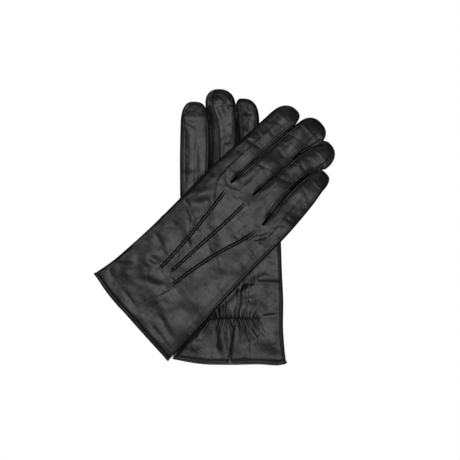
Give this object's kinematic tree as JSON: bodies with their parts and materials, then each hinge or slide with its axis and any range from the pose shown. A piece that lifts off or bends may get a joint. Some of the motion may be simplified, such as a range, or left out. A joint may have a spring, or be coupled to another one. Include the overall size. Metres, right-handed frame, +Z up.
{
  "type": "leather gloves",
  "caption": "Pair of lined black leather dress gloves, one laid across the other, with raised back points, gathered wrists and vented cuffs.",
  "frame": {"origin": "On the resting plane, below the point where the centre lines of the two gloves cross.", "axes": "+Z up from the table. +Y runs along the lower, left glove from its cuff to its fingertips. +X points to the left glove's little-finger side as it lies palm up."},
  "size_m": [0.2196, 0.253, 0.0322],
  "materials": {
    "leather": "smooth black sheepskin with a soft satin sheen",
    "lining": "fine knitted black lining",
    "thread": "black twisted sewing thread",
    "elastic": "flat woven elastic"
  },
  "bodies": {
    "left_hand": {"left_trank": "leather", "left_lining": "lining", "left_fourchettes": "leather", "left_back_points": "thread", "left_outseam_thread": "thread", "left_cuff_hem": "leather", "left_hem_stitches": "thread", "left_wrist_elastic": "elastic", "left_gather_thread": "thread"},
    "left_index_end": {"left_index_tip_sheath": "leather", "left_index_tip_fourchettes": "leather", "left_index_tip_lining": "lining"},
    "left_middle_end": {"left_middle_tip_sheath": "leather", "left_middle_tip_fourchettes": "leather", "left_middle_tip_lining": "lining"},
    "left_ring_end": {"left_ring_tip_sheath": "leather", "left_ring_tip_fourchettes": "leather", "left_ring_tip_lining": "lining"},
    "left_thumb": {"left_thumb_sheath": "leather", "left_thumb_lining": "lining"},
    "right_hand": {"right_trank": "leather", "right_hand_lining": "lining", "right_back_points": "thread", "right_outseam_thread": "thread"},
    "right_cuff_end": {"right_cuff": "leather", "right_cuff_lining": "lining", "right_cuff_hem": "leather", "right_hem_stitches": "thread", "right_wrist_elastic": "elastic", "right_gather_thread": "thread"},
    "right_thumb": {"right_thumb_sheath": "leather", "right_thumb_lining": "lining"},
    "right_index": {"right_index_sheath": "leather", "right_index_fourchettes": "leather", "right_index_lining": "lining"},
    "right_middle": {"right_middle_sheath": "leather", "right_middle_fourchettes": "leather", "right_middle_lining": "lining"},
    "right_ring": {"right_ring_sheath": "leather", "right_ring_fourchettes": "leather", "right_ring_lining": "lining"},
    "right_little": {"right_little_sheath": "leather", "right_little_fourchettes": "leather", "right_little_lining": "lining"}
  },
  "joints": [
    {"name": "right_glove_lift", "type": "slide", "parent": "left_hand", "child": "right_hand", "axis": [0, 0, 1], "range_m": [0, 0.15]},
    {"name": "right_index_lift", "type": "hinge", "parent": "right_hand", "child": "right_index", "pos_m": [-0.00313, 0.04698, 0.0322], "axis": [0.6756, -0.7373, 0], "range_deg": [0, 60]},
    {"name": "right_middle_lift", "type": "hinge", "parent": "right_hand", "child": "right_middle", "pos_m": [0.01792, 0.03555, 0.0322], "axis": [0.6756, -0.7373, 0], "range_deg": [0, 60]},
    {"name": "right_ring_lift", "type": "hinge", "parent": "right_hand", "child": "right_ring", "pos_m": [0.03432, 0.01886, 0.0322], "axis": [0.6756, -0.7373, 0], "range_deg": [0, 60]},
    {"name": "right_little_lift", "type": "hinge", "parent": "right_hand", "child": "right_little", "pos_m": [0.04215, -0.00765, 0.0322], "axis": [0.7133, -0.7009, 0], "range_deg": [0, 60]},
    {"name": "right_cuff_fold", "type": "hinge", "parent": "right_hand", "child": "right_cuff_end", "pos_m": [-0.05656, -0.05558, 0.0322], "axis": [-0.7009, 0.7133, 0], "range_deg": [0, 50]},
    {"name": "right_thumb_swing", "type": "hinge", "parent": "right_hand", "child": "right_thumb", "pos_m": [-0.0533, -0.00611, 0.0194], "axis": [0, 0, 1], "range_deg": [0, 45]},
    {"name": "left_index_bend", "type": "hinge", "parent": "left_hand", "child": "left_index_end", "pos_m": [-0.03451, 0.05928, 0.0125], "axis": [0.9994, -0.0349, 0], "range_deg": [0, 75]},
    {"name": "left_middle_bend", "type": "hinge", "parent": "left_hand", "child": "left_middle_end", "pos_m": [-0.01123, 0.07727, 0.0125], "axis": [0.9994, -0.0349, 0], "range_deg": [0, 75]},
    {"name": "left_ring_bend", "type": "hinge", "parent": "left_hand", "child": "left_ring_end", "pos_m": [0.0128, 0.09526, 0.0125], "axis": [0.9994, -0.0349, 0], "range_deg": [0, 60]},
    {"name": "left_thumb_swing", "type": "hinge", "parent": "left_hand", "child": "left_thumb", "pos_m": [-0.031, -0.0527, 0.0128], "axis": [0, 0, 1], "range_deg": [0, 15]}
  ]
}
